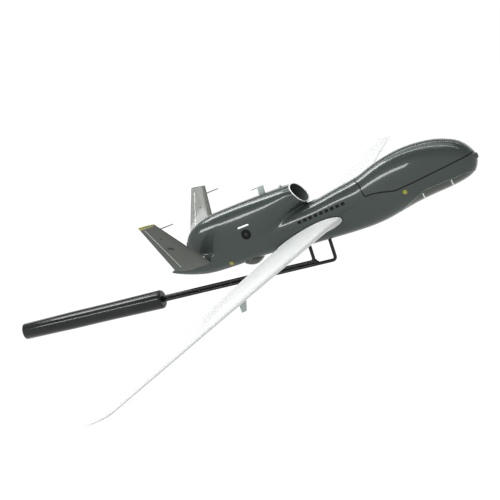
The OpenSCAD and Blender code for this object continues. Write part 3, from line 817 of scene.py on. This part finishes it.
def slab(name, outline, thickness, place, ease):
    """A flat fitting with eased edges: outline in side view (x forward, z up) about place."""
    rings = [[(place[0] + x, place[1] + side * thickness / 2, place[2] + z) for x, z in outline]
             for side in (-1, 1)]
    piece = loft(name, rings)
    apply_modifier(piece, "BEVEL", width=ease * MM, segments=3, limit_method="ANGLE",
                   angle_limit=math.radians(30))
    return piece


def make_fittings():
    camera_z = 21.8
    profile = [(-1.5, 2.55), (0.3, 2.55), (0.62, 2.45), (0.75, 2.25), (0.6, 2.0), (0.25, 1.9), (0.1, 1.0)]
    collar = loft("nose_camera_collar", [
        [(x, r * math.cos(a), camera_z + r * math.sin(a)) for a in round_angles(32)] for x, r in profile])
    seated(collar)
    in_place(smooth(collar, 45), "collar_grey", "airframe", ("nose_camera_collar",))
    select_only()
    bpy.ops.mesh.primitive_uv_sphere_add(segments=32, ring_count=16, radius=1.85 * MM,
                                         location=(-0.75 * MM, 0, camera_z * MM))
    lens = fresh("nose_camera_lens")
    bpy.ops.object.transform_apply(location=True, rotation=True, scale=True)
    seated(lens)
    in_place(smooth(lens, 80), "lens_black", "airframe", ("nose_camera_lens",))

    outline = [(0, -0.8), (6.2, -0.8), (7.35, 7.15), (1.25, 7.15)]
    blade = slab("dorsal_blade", outline, 1.2, (-BLADE_AFT, 0, 57.2), 0.25)
    seated(blade)
    in_place(smooth(blade, 35), "fitting_grey", "airframe", ("dorsal_blade",))
    spot = tapered_bar("blade_spot", (-191.6, -0.5, 62.3), (0, 1, 0), 1.3, 0.6, 0.6)
    whisker = tapered_bar("dorsal_whisker", (-192, 0, 63.6), (-1, 0, 0.02), 7.2, 0.26, 0.16)
    profile = [(56, 1.5), (57.45, 1.5), (57.6, 1.35), (57.65, 1.2), (58.3, 1.0), (58.7, 0.6), (58.84, 0.2)]
    beacon = loft("dorsal_beacon", upright_rings(BEACON_AFT, profile, 24))
    for piece, finish, slot in ((spot, "mark_dark", "fitting_grey"), (whisker, "probe_grey", None),
                                (beacon, "fitting_grey", None)):
        seated(piece)
        nodes = (piece.name,) if piece.name in frame["nodes"] else ()
        in_place(smooth(piece, 45), finish, "airframe", nodes)

    for side, name in SIDES:
        outline = [(0, 1), (-7, 1), (-7.55, -7.15), (-3.25, -6.85)]
        place = (-leading_aft(UNDERWING_BLADE_Y) - 3.2, side * UNDERWING_BLADE_Y, 9.6)
        blade = slab("underwing_blade_" + name, outline, 1.15, place, 0.3)
        seated(blade)
        in_place(smooth(blade, 35), "fitting_grey", "airframe", ("underwing_blade_" + name,))

    # Side blisters: small raised bars painted white, the white being a painted highlight, the shine off a
    # little bump on each side.
    for side, name in SIDES:
        profile = [(0.9 - 0.9 * math.cos(a), 0.9 * math.sin(a)) for a in between(0.15, math.pi / 2, 5)]
        profile += [(11.4 - x, r) for x, r in reversed(profile)]
        bar_form = loft("side_blister_" + name, [
            [(-BLISTER_AFT + x, side * (13.9 - 0.05 * x / 1.2) + r * math.cos(a), BLISTER_Z + r * math.sin(a))
             for a in round_angles(20)] for x, r in profile])
        seated(bar_form)
        in_place(smooth(bar_form, 60), "trim_white", "airframe", ("side_blister_" + name,))

    profile = [(10, 10.3), (5.3, 10.3), (4.6, 9.75), (3.4, 8.5),
               (2.2, 6.8), (1.2, 4.9), (0.5, 2.9), (0.15, 1.2)]
    dome = loft("ventral_radome", upright_rings(RADOME_AFT, profile, 48))
    rounded(dome, 1)
    seated(dome)
    in_place(smooth(dome, 60), "canoe_grey", "airframe", ("ventral_radome",))


# ---------- markings ----------

def patch(name, target, outline, finish, side=-1, lift=0.07, start=None):
    """A thin painted marking: a flat outline (distance aft, height) laid on a side of the target and given
    a thickness. It travels inwards from start, or outwards where start is the middle plane."""
    start = side * BODY_START if start is None else start
    travel = -1 if start * side > 0 else 1
    select_only()
    bpy.ops.mesh.primitive_grid_add(x_subdivisions=outline["n"][0], y_subdivisions=outline["n"][1], size=2)
    piece = fresh(name)
    bpy.ops.object.transform_apply(location=True, rotation=True, scale=True)
    for corner in piece.data.vertices:
        aft, height = outline["at"](corner.co.x, corner.co.y)
        corner.co = Vector((-aft, start, height)) * MM
    seated(piece)
    apply_modifier(piece, "SHRINKWRAP", target=target, wrap_method="PROJECT",
                   use_project_y=True, use_project_x=False, use_project_z=False,
                   use_negative_direction=travel * side < 0, use_positive_direction=travel * side > 0,
                   offset=lift / 2 * MM, wrap_mode="ABOVE_SURFACE")
    drop_missed(piece, start)
    outward_from(piece, -travel * side)
    apply_modifier(piece, "SOLIDIFY", thickness=lift * MM, offset=0)
    return in_place(smooth(piece, 60), finish, "airframe")


def drop_missed(piece, start):
    """Deletes the corners of a patch that found no surface, and so stayed where they started."""
    select_only(piece)
    bpy.ops.object.mode_set(mode="EDIT")
    bpy.ops.mesh.select_all(action="DESELECT")
    form = bmesh.from_edit_mesh(piece.data)
    for corner in form.verts:
        corner.select = abs(corner.co.y - start * MM) < 0.01 * MM
    form.select_flush(True)
    bmesh.update_edit_mesh(piece.data)
    bpy.ops.mesh.delete(type="VERT")
    bpy.ops.object.mode_set(mode="OBJECT")


def outward_from(piece, side):
    """Turns an open patch's faces the way that side says: 1 to the left, -1 to the right."""
    select_only(piece)
    bpy.ops.object.mode_set(mode="EDIT")
    bpy.ops.mesh.select_all(action="SELECT")
    bpy.ops.mesh.normals_make_consistent(inside=False)
    bpy.ops.object.mode_set(mode="OBJECT")
    if sum(face.normal.y * face.area for face in piece.data.polygons) * side < 0:
        bpy.ops.object.mode_set(mode="EDIT")
        bpy.ops.mesh.select_all(action="SELECT")
        bpy.ops.mesh.flip_normals()
        bpy.ops.object.mode_set(mode="OBJECT")


def disc(aft, height, radius, n=12):
    """A grid squeezed into a round outline."""
    def at(u, v):
        reach = max(abs(u), abs(v))
        length = math.hypot(u, v) or 1
        return aft + radius * u * reach / length, height + radius * v * reach / length
    return {"n": (n, n), "at": at}


def bar(start, end, width, n=10):
    """A straight bar from start to end, each (distance aft, height)."""
    along = Vector((end[0] - start[0], end[1] - start[1]))
    across = Vector((-along.y, along.x)).normalized() * width / 2

    def at(u, v):
        point = Vector(start) + along * (u + 1) / 2 + across * v
        return point.x, point.y
    return {"n": (n, 2), "at": at}


def four_sided(a, b, c, d, n=14):
    """A four-sided patch with corners a, b, c and d in turn."""
    a, b, c, d = (Vector(corner) for corner in (a, b, c, d))

    def at(u, v):
        u, v = (u + 1) / 2, (v + 1) / 2
        point = (a * (1 - u) + b * u) * (1 - v) + (d * (1 - u) + c * u) * v
        return point.x, point.y
    return {"n": (n, 3), "at": at}


def line(points, width, n=80):
    """A band of even width along a run of points, each (distance aft, height)."""
    lengths = [0]
    for a, b in zip(points, points[1:]):
        lengths.append(lengths[-1] + math.dist(a, b))

    def at(u, v):
        reach = (u + 1) / 2 * lengths[-1]
        i = max(k for k in range(len(points) - 1) if k == 0 or lengths[k] <= reach + 1e-9)
        a, b = Vector(points[i]), Vector(points[i + 1])
        step = b - a
        across = Vector((-step.y, step.x)).normalized() * width / 2
        point = a + step * (reach - lengths[i]) / (lengths[i + 1] - lengths[i]) + across * v
        return point.x, point.y
    return {"n": (n, 1), "at": at}


def make_markings(body, canoe, fins):
    """Plain generic markings on both sides: a dark disc with its dot, a row of dashes, yellow spots, the
    hood's black pinstripe, a pale painted highlight along the canoe's rim, the canoe's bands, a painted
    shadow line round the wing's root, and the fins' tip flashes, hinge lines, dashes and ticks."""
    (row_aft, row_z), (row_end_aft, row_end_z) = DASH_ROW
    dash_half, dash_width = DASH_SIZE[0] / 2, DASH_SIZE[1]
    for side, name in reversed(SIDES):
        patch("side_disc_" + name, body, disc(*DISC_PLACE, 4.6), "mark_dark", side)
        patch("side_disc_dot_" + name, body, disc(*DISC_PLACE, 1.5, 6), "mark_soft", side,
              lift=0.16)
        for k in range(DASH_COUNT):
            middle = DASH_FIRST + k * DASH_PITCH
            height = row_z + (row_end_z - row_z) * (middle - row_aft) / (row_end_aft - row_aft)
            dash = bar((middle - dash_half, height + 0.07), (middle + dash_half, height - 0.07),
                       dash_width, 5)
            patch("side_dash_%s_%d" % (name, k), body, dash, "mark_dark", side)
        for k, place in enumerate(YELLOW_SPOTS):
            patch("yellow_spot_%s_%d" % (name, k), body, disc(*place, 1.9, 8), "mark_yellow",
                  side)
        seam = [(1.2, 26.3)] + [point for point in HOOD_SEAM if 2 < point[0] < 102] + [(104.3, 38.9)]
        patch("hood_pinstripe_" + name, body, line([(aft, z - 0.12) for aft, z in seam], 1.0, 120),
              "seam_black", side, lift=0.1)
        # A pale strip along the canoe's top edge: a painted highlight for the ledge there.
        rim = [(aft, z + 0.25) for aft, z in CANOE_SEAM[:-1]]
        patch("canoe_rim_highlight_" + name, body, line(rim, 0.55, 90), "canoe_rim_highlight", side, lift=0.35)
        # A thin dark painted shadow line round the wing's root, along the edge of its fairing.
        edge = [(-x, z) for x, y, z in wing_ring(FUSELAGE_SIDE, 1.9)][:FOIL_POINTS + 2]
        patch("wing_root_line_" + name, body, line(edge, 0.5, 120), "joint_shadow", side,
              lift=0.05)
        for k, (aft, top, bottom) in enumerate(CANOE_BANDS):
            patch("canoe_band_%s_%d" % (name, k), canoe, bar((aft, top), (aft + 1.5, bottom), 1.2, 12),
                  "mark_pale", side)

    for side, name in reversed(SIDES):
        fin = fins[name]
        root_z = FIN_ROOT[2]

        def fin_point(out, share):
            out_there = out + FIN_TIP_SKEW * out / FIN_LEN * share
            return fin_lead(out) + share * fin_chord(out), root_z + out_there * math.sin(FIN_CANT)

        for flash, finish, low, high in (("yellow", "mark_yellow", (69.6, 67.2), (71.3, 71.3)),
                                         ("violet", "mark_violet", (68.9, 65.9), (69.6, 67.2))):
            corners = (fin_point(low[0], 0.06), fin_point(low[1], 0.99),
                       fin_point(high[1], 0.99), fin_point(high[0], 0.06))
            patch("fin_flash_%s_%s" % (flash, name), fin, four_sided(*corners), finish, side,
                  start=side * FIN_START)
        hinge = bar(fin_point(3, HINGE_SHARE), fin_point(66, HINGE_SHARE), 0.5, 30)
        dash = bar(fin_point(30, 0.42), fin_point(33.5, 0.6), 2.2, 6)
        tick = bar(fin_point(48, 0.44), fin_point(49.4, 0.5), 1.2, 4)
        for face, start in (("outer", side * FIN_START), ("inner", 0)):
            patch("fin_hinge_%s_%s" % (name, face), fin, hinge, "mark_pale", side,
                  lift=0.08, start=start)
            patch("fin_dash_%s_%s" % (name, face), fin, dash, "mark_soft", side, start=start)
            patch("fin_tick_%s_%s" % (name, face), fin, tick, "mark_soft", side, start=start)


# ---------- nodes kept as they are ----------

def finish_kept_nodes():
    """Gives every CAD node the finish of its material slot."""
    slots = {row["node"]: row["material_slot"] for row in frame["record"]["subparts"]}
    for name, node in frame["nodes"].items():
        finish = finishes[slots[name]]
        node.data.materials.clear()
        node.data.materials.append(finish)


# ---------- stage ----------

def make_stage():
    low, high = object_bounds()
    select_only()
    bpy.ops.mesh.primitive_plane_add(size=300, location=(0, 0, low[2] - 0.2))
    floor = fresh("floor")
    bpy.ops.object.transform_apply(location=True, rotation=True, scale=True)
    floor_paint, nodes, links, shader, place = new_finish("pale_floor")
    socket_value(shader, "Base Color", (0.05, 0.05, 0.05, 1))
    socket_value(shader, "Roughness", 1.0)
    socket_value(shader, "Specular IOR Level", 0.0)
    socket_value(shader, "Emission Color", (1, 1, 1, 1))
    socket_value(shader, "Emission Strength", 1.0)
    floor.data.materials.append(floor_paint)

    world = bpy.data.worlds.new("studio")
    bpy.context.scene.world = world
    world.use_nodes = True
    # The room is dim overhead and fades to the floor's own white at its horizon
    nodes, links = world.node_tree.nodes, world.node_tree.links
    direction = nodes.new("ShaderNodeTexCoord")
    height = nodes.new("ShaderNodeSeparateXYZ")
    fade = nodes.new("ShaderNodeMapRange")
    for name, value in (("From Min", 0.1), ("From Max", 0.7), ("To Min", 1.0), ("To Max", 0.3)):
        fade.inputs[name].default_value = value
    links.new(direction.outputs["Generated"], height.inputs["Vector"])
    links.new(height.outputs["Z"], fade.inputs["Value"])
    links.new(fade.outputs["Result"], nodes["Background"].inputs["Strength"])
    nodes["Background"].inputs["Color"].default_value = (1, 1, 1, 1)
    bpy.context.scene.view_settings.view_transform = "Standard"
    bpy.context.scene.view_settings.gamma = 0.78

    middle = Vector(((low[0] + high[0]) / 2, 0, (low[2] + high[2]) / 2))
    for name, place, size, power in (
            ("top_softbox", (0.1, -0.1, 1.3), (1.3, 0.9), 6),
            ("back_wall", (0.1, 2.2, 1.0), (4, 1.6), 12),
            ("strip_over", (0.1, 0.38, 1.05), (2.2, 0.06), 4),
            ("strip_near", (0.1, -0.3, 1.05), (2.2, 0.06), 4),
            ("strip_side", (-0.4, -0.8, 0.45), (0.9, 0.12), 3.4),
            ("fin_light", (-0.51, -0.1, 0.99), (0.4, 0.4), 3.5)):
        light = bpy.data.lights.new(name, "AREA")
        light.shape = "RECTANGLE"
        light.size, light.size_y = size
        light.energy = power
        lamp = bpy.data.objects.new(name, light)
        lamp.location = place
        lamp.rotation_euler = (middle - Vector(place)).to_track_quat("-Z", "Y").to_euler()
        bpy.context.scene.collection.objects.link(lamp)


def make_camera():
    camera = bpy.data.cameras.new("camera")
    camera.sensor_width = 36
    camera.lens = 116.6
    camera.clip_end = 1000
    eye = bpy.data.objects.new("camera", camera)
    right, up, back = (0.90254, 0.30172, -0.30723), (0.22123, 0.28721, 0.93197), (0.36943, -0.90911, 0.19247)
    turn = Matrix((right, up, back)).transposed().to_4x4()
    eye.matrix_world = Matrix.Translation((0.7043, -1.3116, 0.3027)) @ turn
    bpy.context.scene.collection.objects.link(eye)
    bpy.context.scene.camera = eye


make_camera()
make_stage()
finish_kept_nodes()
make_stick()
whole_form = make_body()
canoe = make_canoe()
make_intake()
make_wings()
fin_forms = make_fins()
make_fittings()
make_markings(whole_form, canoe, fin_forms)
for form in (whole_form, *fin_forms.values()):
    bpy.data.objects.remove(form)
